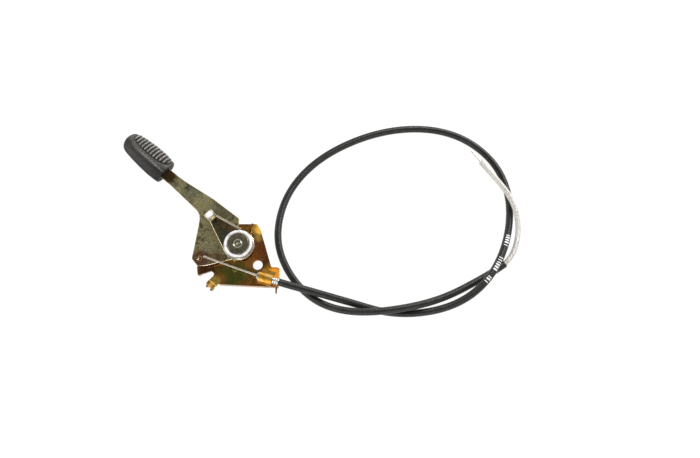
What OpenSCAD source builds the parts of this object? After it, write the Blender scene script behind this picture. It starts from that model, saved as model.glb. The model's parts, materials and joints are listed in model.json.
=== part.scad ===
// Hand throttle control: a stamped base plate, a friction-held lever with a
// moulded knob, and a Bowden cable whose inner wire the lever pulls.
// Millimetres. The origin is the centre of the mounting hole, on the plate's
// underside. +Z points to the lever side, and the lips stand on z = -lip_h.

/* [Base plate] */
// Sheet thickness of the base plate
plate_t = 2; // [1.6:0.1:2.2]
// Depth of the lips bent down along the plate's edges
lip_h = 3; // [2.4:0.2:3]
// Diameter of the mounting hole
mount_d = 6.5; // [5.5:0.5:7]
// Height of the raised boss around the pivot
boss_h = 1; // [0.8:0.1:1]

/* [Lever] */
// Sheet thickness of the lever
lever_t = 2; // [1.8:0.1:2]
// Width of the tang that the knob is pressed on
tang_w = 8.2; // [7:0.2:9]
// Turn of the lever from the rest stop to the pull stop, in degrees
lever_turn = 30; // [30:30]

/* [Pivot] */
// Diameter of the rivet shank
shank_d = 6.4; // [5.6:0.2:6.4]
// Outer diameter of the bush that the lever turns on
bush_d = 9.2; // [9:0.1:9.4]
// Outer diameter of the cup washer
cup_d = 18.8; // [18.4:0.2:20]
// Diameter of the rivet head
head_d = 14; // [12:0.5:14]

/* [Cable] */
// Diameter of the control wire
wire_d = 1.4; // [1.2:0.1:1.4]
// Outer diameter of the cable jacket
jacket_d = 5; // [4.6:0.1:5]
// Outer diameter of the bare conduit spring
spring_d = 4; // [3.8:0.1:4]
// Length of wire that stands out of the far end
tip_len = 10; // [9:0.5:10]

/* [Hidden] */
$fn = 64;

// Pivot and link. The wire hole and the conduit mouth lie at one radius from
// the pivot, so the wire turns by exactly half of the lever's turn.
pivot = [-12, 12];
link_r = 24;
hole_angle = 198;
mouth_angle = -57.5;
wire_hole = pivot + link_r * [cos(hole_angle), sin(hole_angle)];
spare_hole_r = 1.4;
mouth = pivot + link_r * [cos(mouth_angle), sin(mouth_angle)];
wire_run = mouth - wire_hole;
wire_angle = atan2(wire_run.y, wire_run.x);
longest_run = 2 * link_r * sin((hole_angle - lever_turn - mouth_angle) / 2);
wire_end_margin = 1;
run_gap = 0.05;

// Heights of the pivot stack
gap = 0.1;
boss_top = plate_t + boss_h;
disc_t = 0.8;
lever_z = boss_top + disc_t + gap;
lever_top = lever_z + lever_t;
wire_r = wire_d / 2;
wire_z = lever_top + 0.3 + wire_r;
foot_z = lever_z - 0.2 - wire_r;
plate2_z = wire_z + wire_r + 0.2;
plate2_t = 1.2;
spring_z = plate2_z + plate2_t + gap;
spring_t = 0.7;
spring_dish = 0.5;
spring_r = 9.8;
cup_z = spring_z + 2 * spring_t + spring_dish + 0.1;
cup_t = 0.7;
cup_h = 2.3;
head_z = cup_z + cup_t;
head_h = 1.1;
boss_r = 11;
boss_foot_r = 13.3;

// Conduit
conduit_angle = -16.5;
cap_wall = 0.5;
cap_r = 2.2;
cap_len = 2.9;
front_len = 14.8;
clamp_t = 0.9;
clamp_start = 0.9;
clamp_len = 9.2;

// Arm, tang and knob
bend = [-59.2, 58.4];
arm_angle = 141.5;
crank_len = 7.1;
crank_rise = 1.5;
tang_end = 25;
knob_t = 11.2;
knob_z = lever_z + crank_rise + lever_t / 2;

// Teardrop plate: direction of its tip and the key that locks it to the lever
tip_angle = 134.3;
round_r = 10.2;
flange_turn = atan2(9.8 - 3.2, 25.6 - 3);
flange_len = 19;
flange_w = 0.9;
flange_h = 0.7;
key_r = 30.3;

// Outlines: x, y and corner radius
base_outline = [[14.2, -14.9, 1], [14.5, -1.6, 2], [9, -1.4, 1.2], [4.4, 13, 0], [1, 24.2, 3],
    [-1.6, 28.4, 2], [-17, 28.4, 3], [-30, 18, 4], [-39.5, 6.5, 3], [-40.2, -0.4, 1],
    [-39, -6.9, 0.8], [-30.8, -4, 1], [-28.6, -5.8, 1], [-29.9, -8.8, 0.5], [-26.2, -12.9, 1],
    [-1.2, -14.3, 0]];
lever_outline = [[-61.75, 55.19, 0], [-39.5, 34.4, 10], [-43.4, 3.4, 1.5], [-39.2, -1.5, 2],
    [-34, -1.4, 6], [-6.2, 5.6, 3], [-2.6, 13.5, 6], [-7, 22.3, 3], [-13.3, 22.3, 0.4],
    [-13.5, 31.4, 1], [-31.6, 45.2, 20], [-50.6, 57.2, 8], [-56.65, 61.61, 0]];
arc_steps = 4;

// Cable routes: x, y and height of the axis above the surface. The jacket
// makes one loop and passes over itself at its start and at its end.
jacket_route = [[15, -12.5, 9.9], [23, -14.9, 9.5], [35, -17.8, 8], [49, -21.4, 4.6],
    [65, -25.6, 2.6], [82, -31, 2.5], [98, -32.5, 2.5], [114, -31, 2.6], [128, -27.5, 3.8],
    [141, -21, 6.6], [152, -11, 8.7], [160.4, 1.4, 8], [167.3, 16, 3.6], [171.3, 32, 2.5],
    [172, 50, 2.5], [167, 68, 2.5], [156, 83, 2.5], [140, 94.5, 2.5], [121, 100, 2.5],
    [101, 100.5, 2.5], [81, 97, 2.5], [62, 90, 2.5], [44, 80, 2.5], [29, 67, 2.5],
    [18, 51, 2.5], [12.5, 33, 2.5], [12, 16, 2.5], [17, 1, 2.5], [26, -13, 2.5],
    [39, -24.5, 2.6], [55, -30.5, 4.4], [71, -32, 7.2], [86, -31, 8.5], [101, -28.5, 7.6],
    [116, -24.5, 4.8], [131, -18.5, 2.6], [144, -11.5, 2.5], [154.4, -6, 2.5], [165.2, 1.2, 2.5]];
tail_route = [[165.2, 1.2, 2.5], [171.9, 8, 2.4], [175.5, 19, 3.2], [176, 30, 5.6],
    [173.6, 42, 7.8], [167.7, 52.6, 8.2], [162.5, 59.3, 8.2], [158.8, 64.2, 8.2]];
jacket_rings = 64;
jacket_sides = 10;
tail_rings = 12;
tail_sides = 8;
tail_end = [158.8, 64.2, 8.2];
tail_angle = 127;
sleeve_len = 11;
sleeve_bore_r = 1.1;
wire_inside = 2;
wire_neck_r = 0.5;

function unit(v) = v / norm(v);
function flat(p) = [p.x, p.y];
function turned(a) = a > 180 ? a - 360 : a < -180 ? a + 360 : a;

// One corner of an outline, rounded to the radius it carries
function corner(a, b, c) =
    b.z == 0 ? [flat(b)] :
    let (u = unit(flat(a) - flat(b)))
    let (v = unit(flat(c) - flat(b)))
    let (half = acos(u * v) / 2)
    let (centre = flat(b) + unit(u + v) * b.z / sin(half))
    let (from = flat(b) + u * b.z / tan(half) - centre)
    let (to = flat(b) + v * b.z / tan(half) - centre)
    let (start = atan2(from.y, from.x))
    let (sweep = turned(atan2(to.y, to.x) - start))
    [for (i = [0 : arc_steps])
        centre + b.z * [cos(start + sweep * i / arc_steps), sin(start + sweep * i / arc_steps)]];
function rounded(p) =
    [for (i = [0 : len(p) - 1]) each corner(p[(i + len(p) - 1) % len(p)], p[i], p[(i + 1) % len(p)])];

// Uniform B-spline through a route's control points, ending on the end points
function control(p, i) =
    i < 0 ? 2 * p[0] - p[1] :
    i > len(p) - 1 ? 2 * p[len(p) - 1] - p[len(p) - 2] : p[i];
function spline(p, u) =
    let (i = min(floor(u), len(p) - 2))
    let (t = u - i)
    (control(p, i - 1) * pow(1 - t, 3) + control(p, i) * (3 * t * t * t - 6 * t * t + 4)
        + control(p, i + 1) * (3 * t + 3 * t * t - 3 * t * t * t + 1)
        + control(p, i + 2) * t * t * t) / 6;

// A plain tube swept along a route that lies on the surface
module cord(route, r, sides, rings) {
    path = [for (k = [0 : rings]) spline(route, k * (len(route) - 1) / rings) - [0, 0, lip_h]];
    points = [for (k = [0 : rings])
        let (along = unit(path[min(k + 1, rings)] - path[max(k - 1, 0)]))
        let (side = unit(cross(along, [0, 0, 1])))
        let (up = cross(side, along))
        for (j = [0 : sides - 1])
            path[k] + r * (cos(360 * j / sides) * side + sin(360 * j / sides) * up)];
    start_cap = [for (j = [0 : sides - 1]) sides - 1 - j];
    end_cap = [for (j = [0 : sides - 1]) rings * sides + j];
    walls = [for (k = [0 : rings - 1]) for (j = [0 : sides - 1])
        let (n = (j + 1) % sides)
        [k * sides + j, k * sides + n, (k + 1) * sides + n, (k + 1) * sides + j]];
    polyhedron(points, concat([start_cap], walls, [end_cap]), convexity = 10);
}

// Places children at a point of the plane, turned about Z
module at(p, z = 0, angle = 0) {
    translate([p.x, p.y, z]) rotate([0, 0, angle]) children();
}

// Places children along the conduit: their +Z runs away from the mouth
module on_conduit(s = 0) {
    at(mouth, wire_z, conduit_angle) translate([s, 0, 0]) rotate([0, 90, 0]) children();
}

// A strip of sheet bent down from the plate's edge, with a rounded top
module lip(p, angle, length, width) {
    at(p, -lip_h, angle) cube([length, width, lip_h + plate_t / 2]);
}

// The rolled clip tab at the plate's lower left, with its two barbs
module clip_tab() {
    at([-28.2, -10.8], 0, 229.5) {
        translate([-1.2, -3.1, 0]) cube([2.4, 6.2, plate_t]);
        translate([2.9, 3.1, 0.4]) rotate([90, 0, 0]) difference() {
            cylinder(h = 6.2, r = 2.4);
            translate([0, 0, -1]) cylinder(h = 8.2, r = 1.3);
            translate([-3, -3, -1]) cube([6, 2, 8.2]);
        }
        translate([4.2, 1.3, -lip_h]) cube([2.2, 0.9, 3.6]);
        translate([4.2, -2.4, -lip_h]) cube([2.2, 0.9, 3.6]);
    }
}

// Upright tab that the lever's lower edge rests on
module rest_stop() {
    at([-14.4, 2.84], plate_t, 14.1) translate([-1.7, -0.6, -1]) cube([3.4, 1.2, 4.6]);
}

// Upright tab at the corner that ends the pull
module pull_stop() {
    at([-4.73, 25.5], plate_t, -lever_turn) translate([-0.8, -2.3, -1]) cube([1.6, 4.6, 5.2]);
}

module base_plate() {
    color("goldenrod") difference() {
        union() {
            linear_extrude(plate_t) polygon(rounded(base_outline));
            at(pivot, plate_t) cylinder(h = boss_h, r1 = boss_foot_r, r2 = boss_r);
            lip([-25, -13.1], -2.8, 39, 1.6);
            lip([-38.2, -6.4], 100, 5.8, 1.6);
            lip([-15, 27.2], 0, 12.5, 1.2);
            lip([14.3, -14], 89, 12, 1.4);
            translate([12, -18.6, -lip_h]) cube([1, 5, 2.6]);
            clip_tab();
            rest_stop();
            pull_stop();
            translate([-15, -3.4, plate_t]) cylinder(h = 0.9, r1 = 1.6, r2 = 0.9);
        }
        at(pivot, -1) cylinder(h = boss_h + 1, r = boss_r - 0.8);
        at(pivot, -1) cylinder(h = boss_top + 2, d = shank_d);
        translate([0, 0, -1]) cylinder(h = plate_t + 2, d = mount_d);
    }
}

// Saddle that holds the conduit's end: two legs and a half-round roof
module conduit_clamp() {
    outer_r = cap_r + clamp_t;
    color("orange") on_conduit(clamp_start) difference() {
        union() {
            cylinder(h = clamp_len, r = outer_r);
            translate([0, cap_r - 0.4, 0]) cube([wire_z - plate_t, clamp_t + 0.4, clamp_len]);
            translate([wire_z - plate_t - clamp_t, cap_r, 0]) cube([clamp_t, 4, clamp_len]);
            translate([1.6, -outer_r - 1.1, 0]) cube([clamp_t, 1.6, clamp_len]);
        }
        translate([0, 0, -1]) cylinder(h = clamp_len + 2, r = cap_r);
        translate([1.6 + clamp_t, -4, -1]) cube([4, 4 + cap_r - 0.4, clamp_len + 2]);
    }
}

module pivot_rivet() {
    tail_h = 1.2;
    color("dimgray") at(pivot) difference() {
        union() {
            translate([0, 0, -tail_h]) cylinder(h = tail_h, r1 = 3.6, r2 = 4.8);
            translate([0, 0, -tail_h]) cylinder(h = head_z + tail_h + 0.2, d = shank_d);
            translate([0, 0, head_z]) cylinder(h = head_h - 0.3, d = head_d);
            translate([0, 0, head_z + head_h - 0.3]) cylinder(h = 0.3, d1 = head_d, d2 = head_d - 0.8);
        }
        translate([0, 0, head_z + head_h - 0.4]) cylinder(h = 1, r = 2.6);
    }
}

// A flat ring around the pivot
module washer(z, t, r_out, r_in) {
    at(pivot, z) difference() {
        cylinder(h = t, r = r_out);
        translate([0, 0, -1]) cylinder(h = t + 2, r = r_in);
    }
}

module backing_washer() {
    color("silver") washer(0, boss_h, boss_r - 1.2, shank_d / 2);
}

module friction_disc_lower() {
    color("saddlebrown") washer(boss_top, disc_t, 7.3, bush_d / 2);
}

module pivot_bush() {
    color("silver") washer(boss_top, spring_z - boss_top, bush_d / 2, shank_d / 2);
}

module friction_disc_upper() {
    color("saddlebrown") washer(lever_top, plate2_z - lever_top, 8.2, bush_d / 2 + run_gap);
}

module lever() {
    crank = [[-0.4, 0], [0, 0], [crank_len, crank_rise], [tang_end, crank_rise],
        [tang_end, crank_rise + lever_t], [crank_len, crank_rise + lever_t], [0, lever_t],
        [-0.4, lever_t]];
    color("darkkhaki") difference() {
        union() {
            translate([0, 0, lever_z]) linear_extrude(lever_t) polygon(rounded(lever_outline));
            at(bend, lever_z, arm_angle) translate([0, tang_w / 2, 0]) rotate([90, 0, 0])
                linear_extrude(tang_w) polygon(crank);
        }
        at(pivot, lever_z - 1) cylinder(h = lever_t + 2, r = bush_d / 2 + run_gap);
        at(wire_hole, lever_z - 1) cylinder(h = lever_t + 2, r = wire_r + 0.08);
        at([-38.2, 3.6], lever_z - 1) cylinder(h = lever_t + 2, r = spare_hole_r);
        at(pivot, lever_z - 1, tip_angle) translate([key_r - 0.9, -3, 0]) cube([1.8, 6, lever_t + 2]);
    }
}

// One cross-section of the knob, from the thumb side v0 to the far side v1
module knob_slice(u, v0, v1, half) {
    for (v = [v0 + half, v1 - half])
        translate([u, v, 0]) rotate([0, 90, 0]) cylinder(h = 0.5, r = half, $fn = 32);
}

module knob() {
    color("black") at(bend, knob_z, arm_angle) difference() {
        hull() {
            knob_slice(crank_len + 1.3, -9, 7.8, 4.6);
            knob_slice(crank_len + 14, -10.9, 8.2, knob_t / 2);
            knob_slice(crank_len + 27, -10.3, 6.9, 5);
            translate([crank_len + 35, -4.9, 0]) sphere(r = 4.6, $fn = 32);
            translate([crank_len + 35.4, 0, 0]) sphere(r = 4.2, $fn = 32);
        }
        translate([0, -tang_w / 2, -lever_t / 2]) cube([tang_end, tang_w, lever_t]);
    }
}

// Teardrop spring plate: its stepped-down tip is keyed to the lever's slot,
// and a low flange stiffens its upper edge
module friction_plate() {
    drop = lever_top - plate2_z;
    step = [[22, 0], [25.6, 0], [27.6, drop], [32.8, drop], [32.8, drop + plate2_t],
        [27.6, drop + plate2_t], [25.6, plate2_t], [22, plate2_t]];
    color("olive") difference() {
        union() {
            at(pivot, plate2_z, tip_angle) linear_extrude(plate2_t)
                polygon([[3, -9.8], [25.6, -3.2], [25.6, 3.2], [3, 9.8]]);
            at(pivot, plate2_z) cylinder(h = plate2_t, r = round_r);
            at(pivot, plate2_z, tip_angle) translate([25.6, -3.2, 0]) rotate([0, 0, 180 + flange_turn])
                translate([0, -flange_w, 0]) cube([flange_len, flange_w, plate2_t + flange_h]);
            at(pivot, plate2_z, tip_angle) translate([0, 3.2, 0]) rotate([90, 0, 0])
                linear_extrude(6.4) polygon(step);
            at(pivot, lever_z + 0.3, tip_angle) translate([key_r - 0.7, -2.6, 0])
                cube([1.4, 5.2, lever_t]);
        }
        at(pivot, plate2_z - 1) cylinder(h = plate2_t + 2, r = bush_d / 2 + run_gap);
    }
}

// A dished spring washer: its inner edge stands higher than its rim
module disc_spring(z) {
    color("gray") at(pivot, z) rotate_extrude() polygon([[shank_d / 2 + 1, spring_dish],
        [spring_r, 0], [spring_r, spring_t], [shank_d / 2 + 1, spring_dish + spring_t]]);
}

module disc_spring_lower() {
    disc_spring(spring_z);
}

module disc_spring_upper() {
    disc_spring(spring_z + spring_t + 0.05);
}

module cup_washer() {
    rim_r = cup_d / 2;
    color("gainsboro") at(pivot, cup_z) rotate_extrude() polygon([[shank_d / 2, 0], [7.4, 0],
        [rim_r, cup_h - 1], [rim_r, cup_h - 0.4], [rim_r - 0.5, cup_h], [rim_r - 1.6, cup_h],
        [head_d / 2 + 0.2, cup_t + 0.3], [head_d / 2 + 0.2, cup_t], [shank_d / 2, cup_t]]);
}

module control_wire() {
    color("silver") {
        at(wire_hole, foot_z) cylinder(h = wire_z - foot_z, r = wire_r);
        at(wire_hole, wire_z) sphere(r = wire_r);
        at(wire_hole, foot_z) sphere(r = wire_r);
        at(wire_hole, wire_z, wire_angle) rotate([0, 90, 0])
            cylinder(h = longest_run + wire_end_margin, r = wire_r);
        at(wire_hole, foot_z, wire_angle) rotate([0, -90, 0]) cylinder(h = 3.2, r = wire_r);
    }
}

module conduit_end_cap() {
    color("lightgray") on_conduit(-cap_wall / 2) difference() {
        cylinder(h = cap_len, r = cap_r);
        translate([0, 0, cap_wall]) cylinder(h = cap_len, r = cap_r - 0.4);
        translate([0, 0, -1]) cylinder(h = 3, r = 1);
    }
}

module conduit_front_coil() {
    start = cap_len - cap_wall / 2;
    color("silver") on_conduit(start) difference() {
        cylinder(h = front_len - start, r = cap_r);
        translate([0, 0, -1]) cylinder(h = 7, r = cap_r - 0.5);
    }
}

module conduit_jacket() {
    color("black") cord(jacket_route, jacket_d / 2, jacket_sides, jacket_rings);
}

module conduit_tail_coil() {
    color("silver") cord(tail_route, spring_d / 2, tail_sides, tail_rings);
}

// Places children along the wire's far end: their +Z runs outwards
module on_tail(s = 0) {
    at(tail_end, tail_end.z - lip_h, tail_angle) translate([s, 0, 0]) rotate([0, 90, 0]) children();
}

module conduit_tail_sleeve() {
    color("silver") on_tail() difference() {
        cylinder(h = sleeve_len, r = spring_d / 2);
        translate([0, 0, 1]) cylinder(h = sleeve_len, r = sleeve_bore_r);
    }
}

module wire_tip() {
    color("silver") {
        on_tail(sleeve_len - wire_inside) cylinder(h = wire_inside, r = wire_neck_r);
        on_tail(sleeve_len) cylinder(h = tip_len, r = wire_r);
    }
}

base_plate();
conduit_clamp();
pivot_rivet();
backing_washer();
friction_disc_lower();
pivot_bush();
lever();
knob();
friction_disc_upper();
friction_plate();
disc_spring_lower();
disc_spring_upper();
cup_washer();
control_wire();
conduit_end_cap();
conduit_front_coil();
conduit_jacket();
conduit_tail_coil();
conduit_tail_sleeve();
wire_tip();
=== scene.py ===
"""Looks for the hand throttle control: plated sheet metal, a moulded knob and a sheathed cable."""
import json
import math
import random

import bpy
import numpy as np
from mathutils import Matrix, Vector


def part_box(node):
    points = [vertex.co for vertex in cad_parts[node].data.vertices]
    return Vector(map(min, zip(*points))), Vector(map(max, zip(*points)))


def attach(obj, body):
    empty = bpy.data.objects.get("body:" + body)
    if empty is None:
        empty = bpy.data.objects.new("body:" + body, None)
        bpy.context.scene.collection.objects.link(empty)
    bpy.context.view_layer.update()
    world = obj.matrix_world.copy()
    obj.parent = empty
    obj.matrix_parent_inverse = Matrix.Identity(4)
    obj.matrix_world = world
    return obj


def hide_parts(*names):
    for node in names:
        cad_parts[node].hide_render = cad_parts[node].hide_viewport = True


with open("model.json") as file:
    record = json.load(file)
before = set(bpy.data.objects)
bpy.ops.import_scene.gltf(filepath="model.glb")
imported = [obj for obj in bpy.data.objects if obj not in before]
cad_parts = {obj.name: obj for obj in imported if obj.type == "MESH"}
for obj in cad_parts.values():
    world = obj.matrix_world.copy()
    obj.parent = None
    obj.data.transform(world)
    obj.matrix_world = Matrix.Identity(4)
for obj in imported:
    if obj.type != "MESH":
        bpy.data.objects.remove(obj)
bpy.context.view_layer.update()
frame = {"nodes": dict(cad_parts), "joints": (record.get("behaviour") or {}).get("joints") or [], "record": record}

nodes = frame["nodes"]
joint = {j["name"]: j for j in frame["joints"]}
mount = {m["name"]: m for m in frame["record"]["mounts"]}

MM = 0.001
# The plate's lips stand on the table, which is this far from the plate's underside.
SURFACE_Z = -3 * MM
PIVOT = Vector(joint["lever_pivot"]["pos_m"])
# Where the lever's arm turns towards the knob, and the knob's direction from there.
ARM_BEND = Vector((-59.2, 58.4, 0)) * MM
ARM_ANGLE = math.radians(141.5)


# ---------------------------------------------------------------- camera

def make_camera():
    """Looks down on the part from in front, as it lies on the table."""
    data = bpy.data.cameras.new("camera")
    data.sensor_width = 36
    data.lens = 30.857
    data.clip_start = 0.01
    data.clip_end = 20
    camera = bpy.data.objects.new("camera", data)
    camera.location = (0.0615, -0.0872, 0.3931)
    camera.rotation_euler = (math.radians(16), 0, 0)
    bpy.context.scene.collection.objects.link(camera)
    bpy.context.scene.camera = camera


# ---------------------------------------------------------------- mesh helpers

def link_mesh(name, points, faces, smooth=True):
    """A new mesh object in the scene, from points in metres and faces of point numbers."""
    mesh = bpy.data.meshes.new(name)
    mesh.from_pydata([tuple(p) for p in points], [], [tuple(f) for f in faces])
    mesh.validate()
    mesh.update()
    obj = bpy.data.objects.new(name, mesh)
    bpy.context.scene.collection.objects.link(obj)
    if smooth:
        mesh.polygons.foreach_set("use_smooth", [True] * len(mesh.polygons))
    return obj


def grid_faces(rings, sides, closed=True):
    """Quads between rings of points; closed says whether each ring joins up with itself."""
    last = sides if closed else sides - 1
    return [(k * sides + j, k * sides + (j + 1) % sides,
             (k + 1) * sides + (j + 1) % sides, (k + 1) * sides + j)
            for k in range(rings - 1) for j in range(last)]


def spline(route, steps):
    """A uniform B-spline that starts on the first control point and ends on the last."""
    p = np.array(route, float)
    p = np.vstack([2 * p[0] - p[1], p, 2 * p[-1] - p[-2]])
    u = np.linspace(0, len(route) - 1, steps * (len(route) - 1) + 1)
    i = np.minimum(u.astype(int), len(route) - 2)
    t = (u - i)[:, None]
    return (p[i] * (1 - t) ** 3 + p[i + 1] * (3 * t ** 3 - 6 * t ** 2 + 4)
            + p[i + 2] * (3 * t + 3 * t ** 2 - 3 * t ** 3 + 1) + p[i + 3] * t ** 3) / 6


def lengths_along(line):
    """Distance from a line's start to each of its points."""
    return np.concatenate([[0], np.cumsum(np.linalg.norm(np.diff(line, axis=0), axis=1))])


def at_lengths(line, where):
    """Points of a line at given distances from its start."""
    along = lengths_along(line)
    return np.stack([np.interp(where, along, line[:, k]) for k in range(3)], axis=1)


def frames_of(line):
    """Tangent, side and up vectors at each point of a line."""
    tangent = np.gradient(line, axis=0)
    tangent /= np.linalg.norm(tangent, axis=1)[:, None]
    side = np.cross(tangent, [0, 0, 1])
    side /= np.linalg.norm(side, axis=1)[:, None]
    return tangent, side, np.cross(side, tangent)


def tube(name, line, radius, sides):
    """A closed tube along a line; radius is one number or one for each point."""
    radius = np.broadcast_to(radius, len(line))
    _, side, up = frames_of(line)
    angle = np.linspace(0, 2 * math.pi, sides, endpoint=False)
    ring = np.cos(angle)[None, :, None] * side[:, None] + np.sin(angle)[None, :, None] * up[:, None]
    points = line[:, None] + radius[:, None, None] * ring
    faces = grid_faces(len(line), sides)
    faces.append(tuple(range(sides))[::-1])
    faces.append(tuple((len(line) - 1) * sides + j for j in range(sides)))
    return link_mesh(name, points.reshape(-1, 3), faces)


def helix_line(line, coil_radius, pitch, turn_steps):
    """The centre of a wire wound round a line at a given radius, with some points for each turn."""
    total = lengths_along(line)[-1]
    where = np.linspace(0, total, int(total / pitch * turn_steps))
    centre = at_lengths(line, where)
    _, side, up = frames_of(centre)
    angle = 2 * math.pi * where / pitch
    return centre + coil_radius * (np.cos(angle)[:, None] * side + np.sin(angle)[:, None] * up)


def lathe(name, profile, centre, steps):
    """A closed ring turned from a profile of (radius, height) points, given in mm, about +Z."""
    profile = np.array(profile, float) * MM
    angle = np.linspace(0, 2 * math.pi, steps, endpoint=False)
    points = np.stack([np.outer(np.cos(angle), profile[:, 0]), np.outer(np.sin(angle), profile[:, 0]),
                       np.broadcast_to(profile[:, 1], (steps, len(profile)))], axis=2)
    points = points.reshape(-1, 3) + np.array([centre[0], centre[1], 0])
    count = len(profile)
    faces = [(i * count + j, ((i + 1) % steps) * count + j,
              ((i + 1) % steps) * count + (j + 1) % count, i * count + (j + 1) % count)
             for i in range(steps) for j in range(count)]
    return link_mesh(name, points, faces)


def rounded_profile(corners, arc):
    """A closed outline of (x, y, corner radius) points, each corner an arc of so many steps."""
    out = []
    count = len(corners)
    for i, (x, y, r) in enumerate(corners):
        here = np.array([x, y], float)
        if r == 0:
            out.append(here)
            continue
        before = np.array(corners[i - 1][:2], float) - here
        after = np.array(corners[(i + 1) % count][:2], float) - here
        before /= np.linalg.norm(before)
        after /= np.linalg.norm(after)
        half = math.acos(max(-1, min(1, float(before @ after)))) / 2
        middle = before + after
        centre = here + middle / np.linalg.norm(middle) * r / math.sin(half)
        start = here + before * r / math.tan(half) - centre
        stop = here + after * r / math.tan(half) - centre
        a0 = math.atan2(start[1], start[0])
        sweep = (math.atan2(stop[1], stop[0]) - a0 + math.pi) % (2 * math.pi) - math.pi
        out += [centre + r * np.array([math.cos(a0 + sweep * k / arc), math.sin(a0 + sweep * k / arc)])
                for k in range(arc + 1)]
    return out


# Faces that meet more flatly than the first become one; edges sharper than the second are rounded.
FLAT_ANGLE = math.radians(1.5)
SHARP_ANGLE = math.radians(35)


def soften(obj, width, edge=None, weld=0.06, split=False, clamp=False, slide=True):
    """Rounds a CAD node's sharp edges a little, so that they catch the light.

    width is in mm, and edge is the rounded edges' own finish, if they have one. weld joins points
    closer than that, in mm; split cuts large faces up first, clamp holds the rounding to what the
    shortest edge allows, and slide lets it follow the edges beside it. They keep it clean round small
    holes and corners.
    """
    joined = obj.modifiers.new("weld", "WELD")
    joined.merge_threshold = weld * MM
    flat = obj.modifiers.new("flat", "DECIMATE")
    flat.decimate_type = "DISSOLVE"
    flat.angle_limit = FLAT_ANGLE
    if split:
        obj.modifiers.new("split", "TRIANGULATE").min_vertices = 5
    bevel = obj.modifiers.new("bevel", "BEVEL")
    bevel.width = width * MM
    bevel.segments = 2
    bevel.limit_method = "ANGLE"
    bevel.angle_limit = SHARP_ANGLE
    bevel.harden_normals = True
    bevel.use_clamp_overlap = clamp
    bevel.loop_slide = slide
    if edge:
        obj.data.materials.append(edge)
        bevel.material = 1
    obj.modifiers.new("weighted", "WEIGHTED_NORMAL").keep_sharp = True
    obj.data.polygons.foreach_set("use_smooth", [True] * len(obj.data.polygons))


def dress(obj, material, body=None, replaced=()):
    """Gives a piece its material and says what it rides on and stands for."""
    obj.data.materials.clear()
    obj.data.materials.append(material)
    if body:
        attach(obj, body)
    if replaced:
        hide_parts(*replaced)
    return obj


# ---------------------------------------------------------------- materials

# Colour of the painted highlight on the teardrop plate's bent tip.
TIP_HIGHLIGHT_WHITE = (0.97, 0.94, 0.91)


def add(tree, kind, inputs=None, **settings):
    """One shader node, with its inputs linked or set."""
    made = tree.nodes.new(kind)
    for key, value in settings.items():
        setattr(made, key, value)
    for key, value in (inputs or {}).items():
        if isinstance(value, bpy.types.NodeSocket):
            tree.links.new(value, made.inputs[key])
        else:
            made.inputs[key].default_value = value
    return made


def new_material(name):
    """A material with a Principled shader; returns it, its tree, the shader and mm coordinates."""
    material = bpy.data.materials.new(name)
    material.use_nodes = True
    tree = material.node_tree
    tree.nodes.clear()
    shader = add(tree, "ShaderNodeBsdfPrincipled")
    add(tree, "ShaderNodeOutputMaterial", {"Surface": shader.outputs["BSDF"]})
    place = add(tree, "ShaderNodeTexCoord").outputs["Object"]
    in_mm = add(tree, "ShaderNodeVectorMath", {0: place, 1: (1000, 1000, 1000)}, operation="MULTIPLY")
    return material, tree, shader, in_mm.outputs[0]


def noise(tree, place, scale, detail=4, roughness=0.55, distortion=0.0):
    """Cloudy noise from about 0.3 to 0.7; scale is in cycles per mm."""
    made = add(tree, "ShaderNodeTexNoise", {"Vector": place, "Scale": scale, "Detail": detail,
                                            "Roughness": roughness, "Distortion": distortion})
    return made.outputs["Fac"]


def ramp(tree, factor, stops):
    """A colour that goes through (position, colour) stops."""
    made = add(tree, "ShaderNodeValToRGB", {"Fac": factor})
    bar = made.color_ramp
    while len(bar.elements) < len(stops):
        bar.elements.new(0.5)
    for element, (where, colour) in zip(bar.elements, stops):
        element.position = where
        element.color = (*colour, 1)
    return made.outputs["Color"]


def mix(tree, factor, a, b, blend="MIX"):
    """Colour a at factor 0 and b at factor 1; each may be a socket or a plain value."""
    made = add(tree, "ShaderNodeMix", data_type="RGBA", blend_type=blend)
    factor_socket, a_socket, b_socket = made.inputs[0], made.inputs[6], made.inputs[7]
    for socket, value in ((factor_socket, factor), (a_socket, a), (b_socket, b)):
        if isinstance(value, bpy.types.NodeSocket):
            tree.links.new(value, socket)
        elif isinstance(value, tuple):
            socket.default_value = (*value, 1)
        else:
            socket.default_value = value
    return made.outputs[2]


def remap(tree, value, low, high, to_low, to_high):
    """A value stretched from one range to another."""
    return add(tree, "ShaderNodeMapRange", {"Value": value, "From Min": low, "From Max": high,
                                            "To Min": to_low, "To Max": to_high}).outputs[0]


def spot(tree, place, centre, radius, soft=0.5):
    """1 at a point of the part, in mm, and 0 beyond a radius, with a soft, uneven edge."""
    reach = radius * 0.7
    wobble = add(tree, "ShaderNodeTexNoise", {"Vector": place, "Scale": 0.35, "Detail": 2})
    spread = add(tree, "ShaderNodeVectorMath", {0: wobble.outputs["Color"], 1: (reach,) * 3},
                 operation="MULTIPLY")
    moved = add(tree, "ShaderNodeVectorMath", {0: place, 1: spread.outputs[0]}, operation="ADD")
    target = tuple(c + reach / 2 for c in centre)
    far = add(tree, "ShaderNodeVectorMath", {0: moved.outputs[0], 1: target}, operation="DISTANCE")
    return remap(tree, far.outputs["Value"], radius * (1 - soft), radius, 1.0, 0.0)


def bump(tree, height, strength, distance):
    """A normal that follows a height; distance is in metres."""
    return add(tree, "ShaderNodeBump", {"Height": height, "Strength": strength,
                                        "Distance": distance}).outputs["Normal"]


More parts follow.
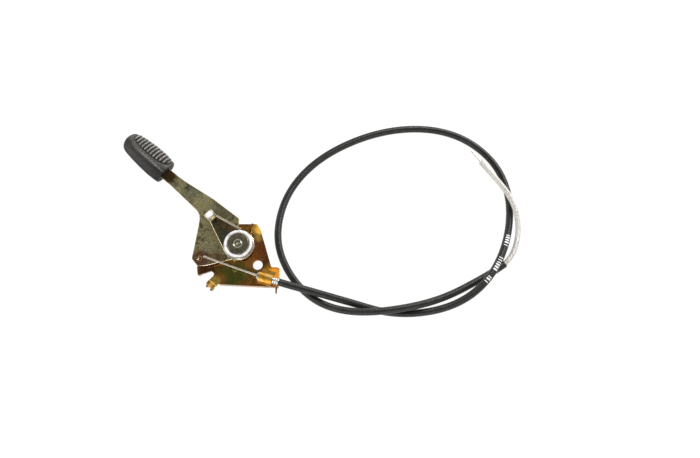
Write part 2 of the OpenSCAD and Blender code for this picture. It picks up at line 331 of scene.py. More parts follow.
def plated(name, stops, patches, scale=0.16, rough=(0.16, 0.34), grain=0.06, speckle=0.25, painted_highlights=()):
    """Zinc plating with a coloured chromate: cloudy colour, local patches, speckle and fine scratches.

    patches: (centre in mm, radius in mm, colour, strength) of places whose colour differs.
    The last argument: (centre in mm, radius in mm, colour) of painted highlights, places painted bright and matt,
    less metallic.
    """
    material, tree, shader, place = new_material(name)
    clouds = noise(tree, place, scale, 7, 0.66, 1.1)
    colour = ramp(tree, clouds, stops)
    for centre, radius, patch, strength in patches:
        whole = spot(tree, place, centre, radius)
        mask = add(tree, "ShaderNodeMath", {0: whole, 1: strength}, operation="MULTIPLY").outputs[0]
        colour = mix(tree, mask, colour, patch)
    fine = noise(tree, place, 1.7, 6, 0.75)
    dots = ramp(tree, fine, [(0.36, (0.4, 0.36, 0.3)), (0.48, (0.9, 0.9, 0.88)), (0.56, (1.1, 1.08, 1.0)),
                             (0.66, (1.9, 1.75, 1.45))])
    colour = mix(tree, speckle, colour, mix(tree, 1.0, colour, dots, "MULTIPLY"))
    metal = 0.95
    # Painted highlights: the spots are painted bright and matt, with less metal.
    for centre, radius, pale in painted_highlights:
        mask = spot(tree, place, centre, radius, 0.5)
        colour = mix(tree, mask, colour, pale)
        metal = add(tree, "ShaderNodeMath", {0: metal, 1: mask}, operation="SUBTRACT").outputs[0]
    tree.links.new(colour, shader.inputs["Base Color"])
    if painted_highlights:
        tree.links.new(metal, shader.inputs["Metallic"])
    else:
        shader.inputs["Metallic"].default_value = metal
    cloudy = noise(tree, place, 0.5, 5, 0.6)
    tree.links.new(remap(tree, cloudy, 0.3, 0.7, *rough), shader.inputs["Roughness"])
    stretched = add(tree, "ShaderNodeMapping", {"Vector": place, "Rotation": (0, 0, 0.5),
                                                "Scale": (0.6, 5, 5)}).outputs[0]
    scratches = noise(tree, stretched, 1.6, 3, 0.5)
    height = mix(tree, 0.5, fine, scratches)
    tree.links.new(bump(tree, height, grain, 0.2 * MM), shader.inputs["Normal"])
    return material


def bare_metal(name, colour, rough, brushed=(1.0, 1.0, 1.0), dirt=0.35, metal=1.0):
    """Plain metal with a little grime and fine tool marks, stretched by brushed."""
    material, tree, shader, place = new_material(name)
    grime = noise(tree, place, 0.45, 5, 0.65)
    dark = tuple(c * (1 - dirt) for c in colour)
    tint = ramp(tree, grime, [(0.3, dark), (0.55, colour), (0.8, tuple(min(1, c * 1.08) for c in colour))])
    tree.links.new(tint, shader.inputs["Base Color"])
    shader.inputs["Metallic"].default_value = metal
    lines = add(tree, "ShaderNodeMapping", {"Vector": place, "Scale": brushed}).outputs[0]
    marks = noise(tree, lines, 1.5, 4, 0.6)
    tree.links.new(remap(tree, marks, 0.3, 0.7, rough - 0.07, rough + 0.08), shader.inputs["Roughness"])
    tree.links.new(bump(tree, marks, 0.05, 0.1 * MM), shader.inputs["Normal"])
    return material


def turned_metal(name, colour, rough, pitch, ring=None, metal=0.95):
    """Metal faced on a lathe: faint rings about the pivot, a pitch in mm apart, over mottled metal.

    ring: (radius, half its width) in mm of a ring about the pivot that is rubbed pale.
    """
    material, tree, shader, place = new_material(name)
    pivot = tuple(PIVOT / MM)
    moved = add(tree, "ShaderNodeVectorMath", {0: place, 1: pivot}, operation="SUBTRACT").outputs[0]
    flat = add(tree, "ShaderNodeVectorMath", {0: moved, 1: (1, 1, 0)}, operation="MULTIPLY").outputs[0]
    radius = add(tree, "ShaderNodeVectorMath", {0: flat}, operation="LENGTH").outputs["Value"]
    wander = noise(tree, place, 0.3, 3)
    uneven = add(tree, "ShaderNodeMath", {0: wander, 1: 0.5, 2: radius},
                 operation="MULTIPLY_ADD").outputs[0]
    turn = 2 * math.pi / pitch
    phase = add(tree, "ShaderNodeMath", {0: uneven, 1: turn}, operation="MULTIPLY").outputs[0]
    rings = add(tree, "ShaderNodeMath", {0: phase}, operation="SINE").outputs[0]
    blotch = noise(tree, place, 0.32, 6, 0.65, 0.6)
    dark = tuple(c * 0.55 for c in colour)
    light = tuple(min(1, c * 1.5) for c in colour)
    tint = ramp(tree, blotch, [(0.32, dark), (0.5, colour), (0.72, light)])
    if ring:
        ring_radius, ring_half = ring
        near = add(tree, "ShaderNodeMath", {0: radius, 1: ring_radius, 2: ring_half},
                   operation="COMPARE").outputs[0]
        faint = add(tree, "ShaderNodeMath", {0: near, 1: 0.4}, operation="MULTIPLY").outputs[0]
        tint = mix(tree, faint, tint, (0.85, 0.82, 0.7))
    tree.links.new(tint, shader.inputs["Base Color"])
    shader.inputs["Metallic"].default_value = metal
    tree.links.new(remap(tree, rings, -1, 1, rough - 0.05, rough + 0.09), shader.inputs["Roughness"])
    tree.links.new(bump(tree, rings, 0.12, 0.05 * MM), shader.inputs["Normal"])
    return material


# Noise scale of the fine spark texture on moulded plastic, and the plastic's low shine.
SPARK = 4.2
SHINE = 0.35


def plastic(name, colour, rough, grain=0.15):
    """Moulded plastic: nearly even colour, fine spark texture and slightly uneven gloss."""
    material, tree, shader, place = new_material(name)
    cloud = noise(tree, place, 0.2, 4)
    lighter = tuple(min(1, c * 1.5 + 0.01) for c in colour)
    tree.links.new(ramp(tree, cloud, [(0.3, colour), (0.75, lighter)]), shader.inputs["Base Color"])
    spark = noise(tree, place, SPARK, 4, 0.6)
    gloss = noise(tree, place, 0.6, 4, 0.6)
    tree.links.new(remap(tree, gloss, 0.3, 0.7, rough - 0.08, rough + 0.1), shader.inputs["Roughness"])
    tree.links.new(bump(tree, spark, grain, 0.08 * MM), shader.inputs["Normal"])
    shader.inputs["Specular IOR Level"].default_value = SHINE
    return material


def knob_plastic():
    """Black moulded plastic, rubbed grey where it is handled and painted pale as highlights on the rib tops and
    the ridge, which a point attribute of the mesh gives; painted shade darkens the flank away from the pad.
    """
    material, tree, shader, place = new_material("knob_plastic")
    rub_and_highlight = add(tree, "ShaderNodeAttribute", attribute_name="rub_and_highlight").outputs["Fac"]
    cloud = noise(tree, place, 0.5, 6, 0.7)
    body = ramp(tree, cloud, [(0.3, (0.009, 0.008, 0.0065)), (0.7, (0.028, 0.025, 0.021))])
    # Painted shade: darker places along the flank away from the thumb pad.
    for centre, radius in (((-72, 62, 6), 11), ((-82, 70, 6), 9)):
        near = spot(tree, place, centre, radius, 0.8)
        shaded = add(tree, "ShaderNodeMath", {0: near, 1: 0.7}, operation="MULTIPLY").outputs[0]
        body = mix(tree, shaded, body, (0.004, 0.0035, 0.003))
    # Pale grey flecks, partly rubbed wear and partly painted highlight, where the point attribute says.
    fleck = noise(tree, place, 1.6, 5, 0.7)
    rubbed_and_highlit_grey = ramp(tree, fleck, [(0.4, (0.08, 0.075, 0.065)), (0.52, (0.3, 0.28, 0.26)),
                              (0.64, (0.6, 0.58, 0.54))])
    tree.links.new(mix(tree, rub_and_highlight, body, rubbed_and_highlit_grey), shader.inputs["Base Color"])
    spark = noise(tree, place, SPARK, 4, 0.6)
    gloss = noise(tree, place, 0.6, 4, 0.6)
    tree.links.new(remap(tree, gloss, 0.3, 0.7, 0.38, 0.55), shader.inputs["Roughness"])
    tree.links.new(bump(tree, spark, 0.2, 0.08 * MM), shader.inputs["Normal"])
    shader.inputs["Specular IOR Level"].default_value = SHINE
    return material


def base_plating():
    """Yellow zinc on the base: red-brown and orange, with a green cast in the middle, and gold corners and tabs
    with painted highlights on them.
    """
    stops = [(0.3, (0.17, 0.065, 0.025)), (0.43, (0.3, 0.15, 0.035)), (0.5, (0.42, 0.2, 0.05)),
             (0.58, (0.66, 0.24, 0.04)), (0.72, (0.9, 0.5, 0.12))]
    green = (0.13, 0.19, 0.035)
    dark = (0.12, 0.055, 0.022)
    red = (0.36, 0.11, 0.035)
    amber = (1.0, 0.46, 0.04)
    gold = (1.0, 0.68, 0.16)
    # The gold patches on the top corner, the foot tab and the rest stop are partly the plating's colour and partly
    # painted highlight.
    patches = [((-17, -6, 2), 12, green, 0.8), ((-7, -3, 2), 8, green, 0.6),
               ((-33, -3, 2), 8, dark, 0.85), ((-38, 4, 2), 4, amber, 0.9),
               ((-24, -9, 2), 4.5, (0.6, 0.27, 0.06), 0.7), ((4, 12, 2), 11, red, 0.85),
               ((7, 0, 2), 7, dark, 0.5), ((-4, 1, 2), 6, (0.7, 0.28, 0.06), 0.7),
               ((10, -6, 2), 8, amber, 0.95), ((-1, 26, 2), 6, gold, 0.95), ((-28, -11, 1), 5, gold, 0.8),
               ((1, 20, 3), 5, gold, 0.6), ((-14.4, 2.6, 6), 2.4, gold, 0.9)]
    # Painted highlights: bright, matt spots by the clamp, on the top corner, on the rest stop and on the foot tab.
    lit = [((11, -6, 2), 5.5, (0.85, 0.36, 0.02)), ((0, 24.5, 3), 4, (0.95, 0.5, 0.06)),
           ((-14.4, 2.8, 6), 1.6, (1.0, 0.6, 0.15)), ((-30, -13, 1), 2.5, (0.8, 0.42, 0.07))]
    return plated("zinc_yellow_base", stops, patches, 0.22, (0.14, 0.3), 0.05, 0.35, lit)


def lever_plating():
    """Olive chromate on the lever: mottled tan, brown and grey-green, with painted shade along its lower part and
    a painted dark reflection on the tang by the knob.
    """
    stops = [(0.34, (0.09, 0.06, 0.03)), (0.42, (0.26, 0.2, 0.09)), (0.47, (0.32, 0.37, 0.26)),
             (0.53, (0.6, 0.47, 0.2)), (0.59, (0.36, 0.38, 0.26)), (0.68, (1.0, 0.78, 0.42))]
    painted_shade_brown = (0.2, 0.08, 0.045)
    # Painted shade: the two brown patches along the lever's lower part, at (-38, 3) and (-28, 3).
    patches = [((-38, 3, 6), 8, painted_shade_brown, 0.85), ((-28, 3, 6), 7, (0.24, 0.13, 0.06), 0.7),
               ((-22, 38, 6), 10, (0.2, 0.17, 0.11), 0.7),
               # A painted dark reflection on the tang between the arm's bend and the knob, with a reddish spot in
               # it.
               ((-63.4, 61.8, 6), 7.6, (0.085, 0.05, 0.02), 0.98),
               ((-61, 64, 6), 2.5, (0.25, 0.05, 0.03), 0.35), ((-48, 50, 6), 6, (0.24, 0.28, 0.2), 0.55),
               ((-40, 40, 6), 7, (0.6, 0.52, 0.26), 0.6), ((-30, 20, 6), 8, (0.5, 0.42, 0.2), 0.5)]
    return plated("zinc_olive_lever", stops, patches, 0.26, (0.28, 0.46), 0.14, 0.75)


def edge_plating():
    """Brighter finishes for the stamped edges, by name: partly bare metal where the plating is thin, partly
    painted highlight along the edges.
    """
    gold_stops = [(0.3, (0.75, 0.42, 0.1)), (0.5, (1.0, 0.66, 0.25)), (0.7, (1.0, 0.85, 0.6))]
    pale_stops = [(0.3, (0.6, 0.5, 0.3)), (0.5, (0.95, 0.85, 0.62)), (0.7, (1.0, 0.95, 0.85))]
    olive_stops = [(0.3, (0.2, 0.15, 0.08)), (0.5, (0.4, 0.34, 0.18)), (0.7, (0.7, 0.55, 0.3))]
    # Painted highlights along the lever's lower edge, at these points.
    bright = (1.0, 0.9, 0.66)
    along_edge = ((-32, -1), (-23, 1), (-14, 3.5), (-42, 12), (-41, 22))
    lower_edge_highlights = [((x, y, 5.5), 6, bright, 0.95) for x, y in along_edge]
    return {
        "base_edge": plated("gold_edge", gold_stops, [], 0.3, (0.16, 0.3), 0.05, 0.2),
        "lever_edge": plated("lever_edge", olive_stops, lower_edge_highlights, 0.3, (0.2, 0.36), 0.05, 0.2),
        "plate_edge": plated("pale_edge", pale_stops, [], 0.3, (0.2, 0.36), 0.05, 0.2),
    }


def plate_plating():
    """Dark green-brown chromate on the teardrop plate, with a painted highlight on its bent tip and painted
    reflection stripes beside it.
    """
    stops = [(0.3, (0.06, 0.05, 0.025)), (0.45, (0.12, 0.11, 0.055)), (0.55, (0.2, 0.14, 0.07)),
             (0.7, (0.32, 0.23, 0.12))]
    patches = [((-22, 17, 8), 6, (0.09, 0.16, 0.11), 0.55), ((-17, 24, 8), 4, (0.28, 0.13, 0.07), 0.5),
               # A painted dark band and a painted gold stripe beside the bent tip, as reflections on the bend.
               ((-28.6, 28.9, 8), 2.6, (0.05, 0.035, 0.02), 0.9),
               ((-30.5, 30.9, 7.6), 2.0, (1.0, 0.72, 0.3), 1.0)]
    # A painted highlight on the bent tip.
    tip = [((-33.6, 34.1, 6.5), 4.0, TIP_HIGHLIGHT_WHITE)]
    return plated("zinc_olive_plate", stops, patches, 0.3, (0.2, 0.34), 0.06, 0.5, tip)


def make_materials():
    """Every finish on the object, by name."""
    clamp_stops = [(0.3, (0.8, 0.3, 0.02)), (0.5, (1.0, 0.5, 0.06)), (0.7, (1.0, 0.72, 0.25))]
    return {
        **edge_plating(),
        "base": base_plating(),
        "clamp": plated("zinc_gold_clamp", clamp_stops, []),
        "lever": lever_plating(),
        "plate": plate_plating(),
        "rivet": turned_metal("dark_rivet", (0.2, 0.185, 0.125), 0.34, 0.45, (2.65, 0.45)),
        "cup": turned_metal("bright_washer", (0.95, 0.92, 0.9), 0.42, 0.3, metal=0.15),
        "spring": turned_metal("spring_steel", (0.6, 0.58, 0.54), 0.26, 0.35),
        "fibre": plastic("friction_fibre", (0.16, 0.09, 0.05), 0.7),
        "bush": bare_metal("bush_steel", (0.62, 0.6, 0.56), 0.3),
        "knob": knob_plastic(),
        "wire": bare_metal("wire_steel", (0.86, 0.77, 0.68), 0.34, (0.3, 3, 3)),
        "coil": bare_metal("coil_steel", (0.93, 0.92, 0.89), 0.3, dirt=0.2),
        "tail": bare_metal("tail_steel", (0.8, 0.78, 0.73), 0.42, dirt=0.2, metal=0.3),
        "jacket": plastic("jacket_black", (0.011, 0.011, 0.009), 0.34, grain=0.06),
        "ink": plastic("white_ink", (0.85, 0.85, 0.83), 0.5),
    }


# ---------------------------------------------------------------- cables

# Control points of the cable's centre: x, y and height above the surface, in metres.
JACKET_ROUTE = [
    (0.015, -0.0125, 0.0099), (0.023, -0.0149, 0.0095), (0.035, -0.0178, 0.008), (0.049, -0.0214, 0.0046),
    (0.065, -0.0256, 0.0026), (0.082, -0.031, 0.0025), (0.098, -0.0325, 0.0025), (0.114, -0.031, 0.0026),
    (0.128, -0.0275, 0.0038), (0.141, -0.021, 0.0066), (0.152, -0.011, 0.0087), (0.1604, 0.0014, 0.008),
    (0.1673, 0.016, 0.0036), (0.1713, 0.032, 0.0025), (0.172, 0.05, 0.0025), (0.167, 0.068, 0.0025),
    (0.156, 0.083, 0.0025), (0.14, 0.0945, 0.0025), (0.121, 0.1, 0.0025), (0.101, 0.1005, 0.0025),
    (0.081, 0.097, 0.0025), (0.062, 0.09, 0.0025), (0.044, 0.08, 0.0025), (0.029, 0.067, 0.0025),
    (0.018, 0.051, 0.0025), (0.0125, 0.033, 0.0025), (0.012, 0.016, 0.0025), (0.017, 0.001, 0.0025),
    (0.026, -0.013, 0.0025), (0.039, -0.0245, 0.0026), (0.055, -0.0305, 0.0044), (0.071, -0.032, 0.0072),
    (0.086, -0.031, 0.0085), (0.101, -0.0285, 0.0076), (0.116, -0.0245, 0.0048), (0.131, -0.0185, 0.0026),
    (0.144, -0.0115, 0.0025), (0.1544, -0.006, 0.0025), (0.1652, 0.0012, 0.0025)]
TAIL_ROUTE = [
    (0.1652, 0.0012, 0.0025), (0.1719, 0.008, 0.0024), (0.1755, 0.019, 0.0032), (0.176, 0.03, 0.0056),
    (0.1736, 0.042, 0.0078), (0.1677, 0.0526, 0.0082), (0.1625, 0.0593, 0.0082), (0.1588, 0.0642, 0.0082)]
JACKET_D = 5 * MM
SPRING_D = 4 * MM
FRONT_D = 4.4 * MM
SLEEVE_LENGTH = mount["conduit_end"]["dims"]["length_mm"] * MM
# Direction in which the conduit leaves the clamp, and the length of bare spring there.
CONDUIT_ANGLE = math.radians(-16.5)
FRONT_LENGTH = 12.1 * MM


def laid(route, steps):
    """A route's spline, laid on the surface."""
    return spline(route, steps) + np.array([0, 0, SURFACE_Z])


def make_jacket(materials):
    """The ribbed black jacket, with a plain cut end."""
    line = laid(JACKET_ROUTE, 40)
    total = lengths_along(line)[-1]
    rib_pitch = 1.15 * MM
    groove = 0.16 * MM
    where = np.arange(0, total, rib_pitch / 6)
    where[-1] = total
    radius = JACKET_D / 2 - groove * (0.5 - 0.5 * np.cos(2 * math.pi * where / rib_pitch)) ** 2
    path = at_lengths(line, where)
    jacket = tube("cable_jacket", path, radius, 20)
    dress(jacket, materials["jacket"], "base", ["conduit_jacket"])
    marks = make_marks(line, materials)


def make_marks(line, materials):
    """Plain white index bars printed round the top of the jacket, in three groups."""
    rng = random.Random(4)
    bar_pitch = 1.9 * MM
    radius = JACKET_D / 2 + 0.03 * MM
    angles = np.radians(np.linspace(52, 118, 7))
    points, faces = [], []
    # Each group starts so many metres along the jacket and has so many bars.
    for start, count in ((0.1438, 3), (0.1535, 6), (0.1733, 5)):
        for k in range(count):
            length = bar_pitch * rng.choice([0.35, 0.6, 0.6])
            first = start + k * bar_pitch
            centre = at_lengths(line, np.linspace(first, first + length, 4))
            _, side, up = frames_of(centre)
            base = len(points)
            for p, s, u in zip(centre, side, up):
                points += [p + radius * (math.cos(a) * s + math.sin(a) * u) for a in angles]
            bar = grid_faces(len(centre), len(angles), closed=False)
            faces += [tuple(base + i for i in f) for f in bar]
    marks = link_mesh("jacket_marks", points, faces)
    solid = marks.modifiers.new("thickness", "SOLIDIFY")
    solid.thickness = 0.05 * MM
    solid.offset = 0
    return dress(marks, materials["ink"], body="base")


def make_tail(materials):
    """The bare conduit spring beyond the jacket, up to its straight end."""
    bend = laid(TAIL_ROUTE, 30)
    axis = np.array(Vector(mount["conduit_end"]["axis"]))
    straight = np.array([bend[-1] + axis * SLEEVE_LENGTH * k / 10 for k in range(1, 11)])
    line = np.vstack([bend, straight])
    wire_r = 0.42 * MM
    coil_pitch = 0.93 * MM
    wire = helix_line(line, SPRING_D / 2 - wire_r, coil_pitch, 14)
    coil = tube("tail_spring", wire, wire_r, 8)
    dress(coil, materials["tail"], "base", ["conduit_tail_coil", "conduit_tail_sleeve"])


def make_front_coil(materials):
    """The end of the conduit spring that shows between the clamp and the jacket."""
    low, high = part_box("conduit_front_coil")
    jacket_x, jacket_y, _ = JACKET_ROUTE[0]
    finish = Vector((jacket_x, jacket_y, (low.z + high.z) / 2))
    direction = Vector((math.cos(CONDUIT_ANGLE), math.sin(CONDUIT_ANGLE), 0))
    line = np.array([finish - direction * (FRONT_LENGTH * (1 - k / 20)) for k in range(21)])
    wire_r = 0.66 * MM
    coil_pitch = 1.6 * MM
    wire = helix_line(line, FRONT_D / 2 - wire_r, coil_pitch, 24)
    coil = tube("front_spring", wire, wire_r, 10)
    dress(coil, materials["coil"], "base", ["conduit_front_coil"])


# ---------------------------------------------------------------- pivot stack

def extent_mm(name):
    """Bottom, top and outer radius about the pivot of a CAD node, in mm."""
    low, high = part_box(name)
    return low.z / MM, high.z / MM, (high.x - PIVOT.x) / MM


def make_turned(name, node, profile, arc, steps, material):
    """A turned piece of the base that stands for a CAD node."""
    ring = lathe(name, rounded_profile(profile, arc), PIVOT, steps)
    dress(ring, material, "base", [node])


def make_pivot_stack(materials):
    """Cup washer, spring washers and rivet, turned finely about the pivot; profiles are in mm."""
    base, top, rim = extent_mm("cup_washer")
    # Points are (radius, height, corner radius).
    cup = [(3.2, base, 0), (7.35, base, 0.4), (8.3, top - 0.8, 0.4), (rim - 0.5, top - 1.5, 0.1),
           (rim, top - 1.2, 0.2), (8.4, top, 0.4), (7.3, base + 0.95, 0.3), (7.2, base + 0.7, 0),
           (3.2, base + 0.7, 0)]
    make_turned("cup_washer_ring", "cup_washer", cup, 5, 160, materials["cup"])
    for node in ("disc_spring_lower", "disc_spring_upper"):
        z, _, rim = extent_mm(node)
        dished = [(4.2, z + 0.5, 0.1), (rim, z, 0.2), (rim, z + 0.7, 0.25), (4.2, z + 1.2, 0.1)]
        make_turned(node + "_ring", node, dished, 3, 128, materials["spring"])
    make_rivet(materials)


def make_rivet(materials):
    """The rivet: a faced head with a small ring round its middle, a shank and a spread tail."""
    bottom, top, _ = extent_mm("pivot_rivet")
    head = top - 1.1
    tail = bottom + 1.2
    profile = [(0.01, bottom, 0), (3.6, bottom, 0.3), (4.8, tail, 0.2), (3.2, tail, 0), (3.2, head, 0),
               (7.0, head, 0.1), (7.0, top - 0.1, 0.35), (2.85, top, 0.1), (2.65, top - 0.14, 0.06),
               (2.4, top - 0.14, 0.06), (2.2, top - 0.02, 0.1), (0.01, top - 0.05, 0)]
    make_turned("rivet_turned", "pivot_rivet", profile, 4, 128, materials["rivet"])


# ---------------------------------------------------------------- knob

# Along the arm from its bend, in mm: where the knob starts, where its nose begins and where it ends.
KNOB_START = 8.45
KNOB_NOSE = 39.2
KNOB_END = 46.9
# Where the ridge runs along the knob's top, from -1 at the thumb's side to 1 at the far side.
KNOB_RIDGE = 0.16
KNOB_ROWS = 300
KNOB_SIDES = 200


def smooth_step(x):
    """0 below 0, 1 above 1 and a smooth rise between."""
    x = np.clip(x, 0, 1)
    return x * x * (3 - 2 * x)


def knob_body(u, angle):
    """The knob's skin before the pad is let in: (along, across, up) in mm for each u and angle."""
    lead = np.clip((u - KNOB_START) / 0.8, 0, 1)
    swell = np.sqrt(1 - (1 - lead) ** 2) * 0.06 + 0.94
    nose = np.clip((u - KNOB_NOSE) / (KNOB_END - KNOB_NOSE), 0, 1)
    close = np.maximum(1 - nose ** 2.6, 0) ** (1 / 2.5)
    # Edges of the outline seen from above, on the thumb's side and on the far side.
    thumb = np.interp(u, [8, 12, 18, 26, 34, 47], [-9, -10.1, -10.9, -11.1, -10.8, -9.4])
    far = np.interp(u, [8, 12, 18, 26, 34, 47], [7.85, 8.2, 8.2, 7.6, 6.7, 4.6])
    centre = (thumb + far) / 2
    half_w = (far - thumb) / 2 * swell * close
    half_h = np.interp(u, [8, 16, 24, 34, 47], [4.6, 5.3, 5.5, 4.9, 4.3]) * swell * close ** 0.9
    across, rise, upper = knob_section(angle)
    side_slope = np.where(across > KNOB_RIDGE, 0.34, 0.1)
    roof = 1 - side_slope * np.abs(across - KNOB_RIDGE) * upper
    ridge = 0.3 * np.exp(-((across - KNOB_RIDGE) / 0.04) ** 2)
    groove = 0.34 * np.exp(-((across - KNOB_RIDGE + 0.1) / 0.05) ** 2)
    x = centre[:, None] + half_w[:, None] * across
    z = half_h[:, None] * rise * roof + ridge_fade(u) * (ridge - groove) * upper
    return np.stack([np.broadcast_to(u[:, None], x.shape), x, z], axis=2), centre


def knob_section(angle):
    """The knob's rounded cross-section: how far across, how high, and how much on the upper half."""
    power = 2 / 2.45
    across = np.sign(np.cos(angle)) * np.abs(np.cos(angle)) ** power
    rise = np.sign(np.sin(angle)) * np.abs(np.sin(angle)) ** power
    return across, rise, smooth_step(rise / 0.3)


def ridge_fade(u):
    """How much of the ridge is left, which dies away towards the nose."""
    return smooth_step((40 - u) / 12)[:, None]


def knob_faces():
    """Quads round the skin, a flat end towards the lever and a closed nose."""
    inner = KNOB_ROWS * KNOB_SIDES
    last = inner - KNOB_SIDES
    hub, nose = inner + KNOB_SIDES, inner + KNOB_SIDES + 1
    faces = grid_faces(KNOB_ROWS, KNOB_SIDES)
    for j in range(KNOB_SIDES):
        k = (j + 1) % KNOB_SIDES
        faces.append((j, inner + j, inner + k, k))
        faces.append((inner + j, hub, inner + k))
        faces.append((last + j, last + k, nose))
    return faces


def make_knob(materials):
    """The moulded knob: an oval grip with a ribbed thumb pad let into one flank and a ridge on top."""
    low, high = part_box("knob")
    t = np.linspace(0, 1, KNOB_ROWS)
    u = KNOB_START + (KNOB_END - KNOB_START) * (1 - (1 - t) ** 1.35)
    angle = np.linspace(0, 2 * math.pi, KNOB_SIDES, endpoint=False)
    points, centre = knob_body(u, angle)
    points += grid_normals(points) * pad_relief(u, angle)[:, :, None]
    points = points.reshape(-1, 3)
    lid = points[:KNOB_SIDES] * [1, 0.75, 0.75] + [-0.3, centre[0] * 0.25, 0]
    points = np.vstack([points, lid, [KNOB_START - 0.35, centre[0], 0], [KNOB_END, centre[-1], 0]])
    along = np.array([math.cos(ARM_ANGLE), math.sin(ARM_ANGLE), 0])
    aside = np.array([-math.sin(ARM_ANGLE), math.cos(ARM_ANGLE), 0])
    origin = np.array([ARM_BEND.x, ARM_BEND.y, (low.z + high.z) / 2])
    world = origin + MM * (points[:, :1] * along + points[:, 1:2] * aside + points[:, 2:] * [0, 0, 1])
    knob = link_mesh("knob_moulding", world, knob_faces())
    across, _, upper = knob_section(angle)
    # A painted highlight along the ridge on top.
    ridge = 0.45 * ridge_fade(u) * upper * np.exp(-((across - KNOB_RIDGE) / 0.045) ** 2)
    rub_and_highlight = np.zeros(len(points))
    rub_and_highlight[:KNOB_ROWS * KNOB_SIDES] = (pad_rub_and_highlight(u, angle) + ridge).ravel()
    knob.data.attributes.new("rub_and_highlight", "FLOAT", "POINT").data.foreach_set("value", rub_and_highlight)
    dress(knob, materials["knob"], "lever", ["knob"])


def grid_normals(points):
    """Outward normals of a grid of points, closed in its second direction."""
    down = np.gradient(points, axis=0)
    around = np.roll(points, -1, axis=1) - np.roll(points, 1, axis=1)
    normal = np.cross(around, down)
    size = np.linalg.norm(normal, axis=2, keepdims=True)
    return normal / np.maximum(size, 1e-9)


def pad_shape(u, angle):
    """How far inside the thumb pad's oval each point lies (0 at its rim), and how much it is on a rib."""
    middle_u, half_u = 26.2, 18.0
    middle_a, half_a = math.radians(148), math.radians(58)
    power = 3.2
    rib_pitch = 2.75
    first_rib = 10.2
    a = np.abs((u[:, None] - middle_u) / half_u)
    b = np.abs((angle[None, :] - middle_a) / half_a)
    inside = 1 - (a ** power + b ** power) ** (1 / power)
    wave = np.clip(np.cos(2 * math.pi * (u[:, None] - first_rib) / rib_pitch) * 1.5, -1, 1)
    return inside, (0.5 + 0.5 * wave) * smooth_step((inside - 0.05) / 0.08)


def pad_relief(u, angle):
    """Height of the thumb pad's surface, in mm: a long oval recess with a lip, filled with cross ribs."""
    inside, ribs = pad_shape(u, angle)
    lip = 0.15 * np.exp(-((inside + 0.02) / 0.05) ** 2)
    return lip - 1.1 * smooth_step(inside / 0.07) + 1.3 * ribs


def pad_rub_and_highlight(u, angle):
    """How pale the plastic is, partly rubbed wear and partly painted highlight: most on the ribs' tops, a little
    round the pad.
    """
    inside, ribs = pad_shape(u, angle)
    around = 0.3 * smooth_step((inside + 0.3) / 0.25) * (1 - smooth_step(inside / 0.07))
    return ribs ** 2 + around


# ---------------------------------------------------------------- carried CAD nodes

# Each CAD node's finish and slot, and how its edges are rounded.
CAD_FINISHES = {
    "base_plate": ("base", "zinc_yellow_base", {"width": 0.18, "weld": 0.15, "split": True,
                                                "clamp": True, "slide": False}),
    "conduit_clamp": ("clamp", "zinc_gold_clamp", {"width": 0.15, "split": True, "clamp": True}),
    "lever": ("lever", "zinc_olive_lever", {"width": 0.36, "slide": False}),
    "friction_plate": ("plate", "zinc_olive_plate", {"width": 0.3}),
    "backing_washer": ("cup", "bright_washer", {"width": 0.12}),
    "friction_disc_lower": ("fibre", "friction_fibre", {"width": 0.1}),
    "friction_disc_upper": ("fibre", "friction_fibre", {"width": 0.1}),
    "pivot_bush": ("bush", "bush_steel", {"width": 0.1}),
    "conduit_end_cap": ("bush", "bush_steel", {"width": 0.12}),
    "wire_tip": ("wire", "wire_steel", {"width": 0.1}),
    "control_wire": ("wire", "wire_steel", None),
}
EDGE_FINISHES = {"base_plate": "base_edge", "lever": "lever_edge", "friction_plate": "plate_edge"}


def dress_cad_nodes(materials):
    """Materials and rounded edges on the nodes whose CAD shape is kept."""
    for name, (finish, slot, rounding) in CAD_FINISHES.items():
        dress(nodes[name], materials[finish])
        if rounding:
            soften(nodes[name], edge=materials.get(EDGE_FINISHES.get(name)), **rounding)


# ---------------------------------------------------------------- stage

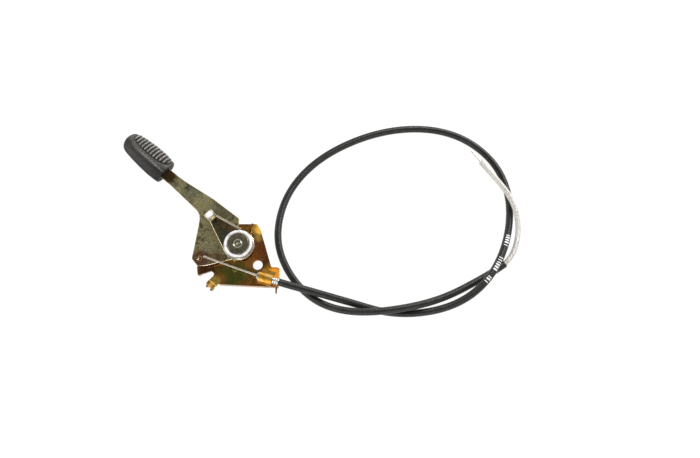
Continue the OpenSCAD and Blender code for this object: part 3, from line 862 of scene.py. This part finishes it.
def make_stage():
    """A pale table and a soft room that is dark overhead and bright all round."""
    size = 3.0
    corners = [(-size, -size, SURFACE_Z), (size, -size, SURFACE_Z), (size, size, SURFACE_Z),
               (-size, size, SURFACE_Z)]
    floor = link_mesh("floor", corners, [(0, 1, 2, 3)], smooth=False)
    material, _, shader, _ = new_material("floor_white")
    shader.inputs["Base Color"].default_value = (0.12, 0.12, 0.12, 1)
    shader.inputs["Roughness"].default_value = 1.0
    shader.inputs["Specular IOR Level"].default_value = 0.0
    shader.inputs["Emission Color"].default_value = (1, 1, 1, 1)
    shader.inputs["Emission Strength"].default_value = 0.97
    floor.data.materials.append(material)
    make_room()
    make_lamp("key", (0.5, 0.55, 0.42), 6.0)
    make_lamp("left", (-0.6, 0.0, 0.3), 1.0)
    make_lamp("front", (0.0, -0.6, 0.35), 1.5)
    bpy.context.scene.view_settings.view_transform = "Standard"


def make_lamp(name, place, power):
    """A soft square lamp that points at the middle of the plate."""
    data = bpy.data.lights.new("lamp_" + name, "AREA")
    data.size = 0.3
    data.energy = power
    lamp = bpy.data.objects.new("lamp_" + name, data)
    lamp.location = place
    aim = Vector((0, 0.02, 0)) - Vector(place)
    lamp.rotation_euler = aim.to_track_quat("-Z", "Y").to_euler()
    bpy.context.scene.collection.objects.link(lamp)


def make_room():
    """The light of the room by height: white near the horizon, grey overhead."""
    world = bpy.data.worlds.new("room")
    bpy.context.scene.world = world
    world.use_nodes = True
    tree = world.node_tree
    background = tree.nodes["Background"]
    direction = add(tree, "ShaderNodeTexCoord").outputs["Generated"]
    height = add(tree, "ShaderNodeSeparateXYZ", {"Vector": direction}).outputs["Z"]
    sky = ramp(tree, height, [(0.0, (0.9, 0.9, 0.9)), (0.45, (0.75, 0.75, 0.75)), (0.8, (0.3, 0.3, 0.3)),
                              (0.97, (0.2, 0.2, 0.2))])
    tree.links.new(sky, background.inputs["Color"])
    background.inputs["Strength"].default_value = 1.0


make_camera()
finishes = make_materials()
make_jacket(finishes)
make_tail(finishes)
make_front_coil(finishes)
make_pivot_stack(finishes)
make_knob(finishes)
dress_cad_nodes(finishes)
make_stage()
